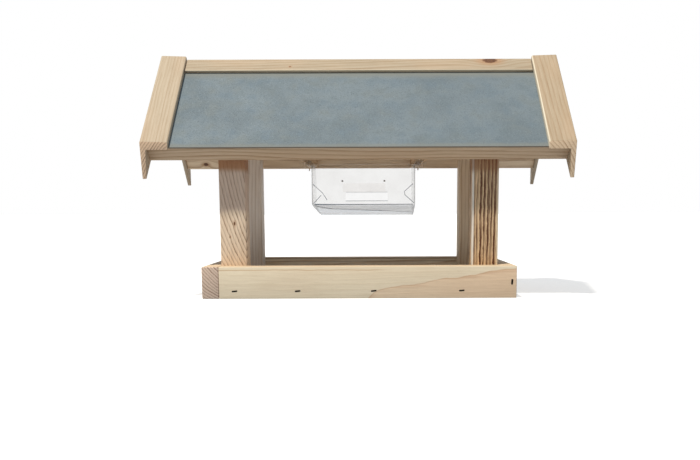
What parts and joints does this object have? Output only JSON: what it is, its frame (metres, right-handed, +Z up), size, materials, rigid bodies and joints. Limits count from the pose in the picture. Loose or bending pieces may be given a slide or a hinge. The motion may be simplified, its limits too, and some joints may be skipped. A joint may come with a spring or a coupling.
{
  "type": "roofed bird feeder",
  "caption": "Open pine bird feeder: a shallow tray under a felted gable roof on corner posts, with a clear seed hopper that slides out to the front.",
  "frame": {"origin": "under the middle of the tray, on the surface that it stands on", "axes": "+X along the ridge, -Y towards the front, +Z up"},
  "size_m": [0.4998, 0.232, 0.2979],
  "materials": {
    "pine_tray": "sawn and lightly planed, untreated",
    "pine_posts": "planed, untreated, strong grain",
    "pine_roof": "planed, untreated",
    "pine_trim": "moulded, smooth, untreated",
    "mineral_felt": "bitumen sheet with fine blue-grey mineral, matte",
    "clear_plastic": "clear, glossy, a little hazy",
    "dark_plastic": "matte",
    "fastener_steel": "dull, darkened"
  },
  "bodies": {
    "feeder": {"tray_front_board": "pine_tray", "tray_rear_board": "pine_tray", "tray_left_board": "pine_tray", "tray_right_board": "pine_tray", "tray_floor": "pine_tray", "post_front_left": "pine_posts", "post_front_right": "pine_posts", "post_rear_left": "pine_posts", "post_rear_right": "pine_posts", "roof_board_front": "pine_roof", "roof_board_rear": "pine_roof", "tie_left": "pine_roof", "tie_right": "pine_roof", "runner_left": "clear_plastic", "runner_right": "clear_plastic", "verge_trim_front_left": "pine_trim", "verge_trim_front_right": "pine_trim", "verge_trim_rear_left": "pine_trim", "verge_trim_rear_right": "pine_trim", "ridge_cap": "pine_trim", "roof_felt_front": "mineral_felt", "roof_felt_rear": "mineral_felt", "floor_staples": "fastener_steel", "corner_staples": "fastener_steel", "post_screws": "fastener_steel", "roof_screws": "fastener_steel", "ridge_cap_pins": "fastener_steel", "verge_pins": "fastener_steel", "runner_pins": "fastener_steel"},
    "hopper": {"hopper_box": "clear_plastic", "hopper_rivets": "dark_plastic"}
  },
  "joints": [
    {"name": "hopper_slide", "type": "slide", "parent": "feeder", "child": "hopper", "axis": [0, -1, 0], "range_m": [0, 0.08]}
  ]
}
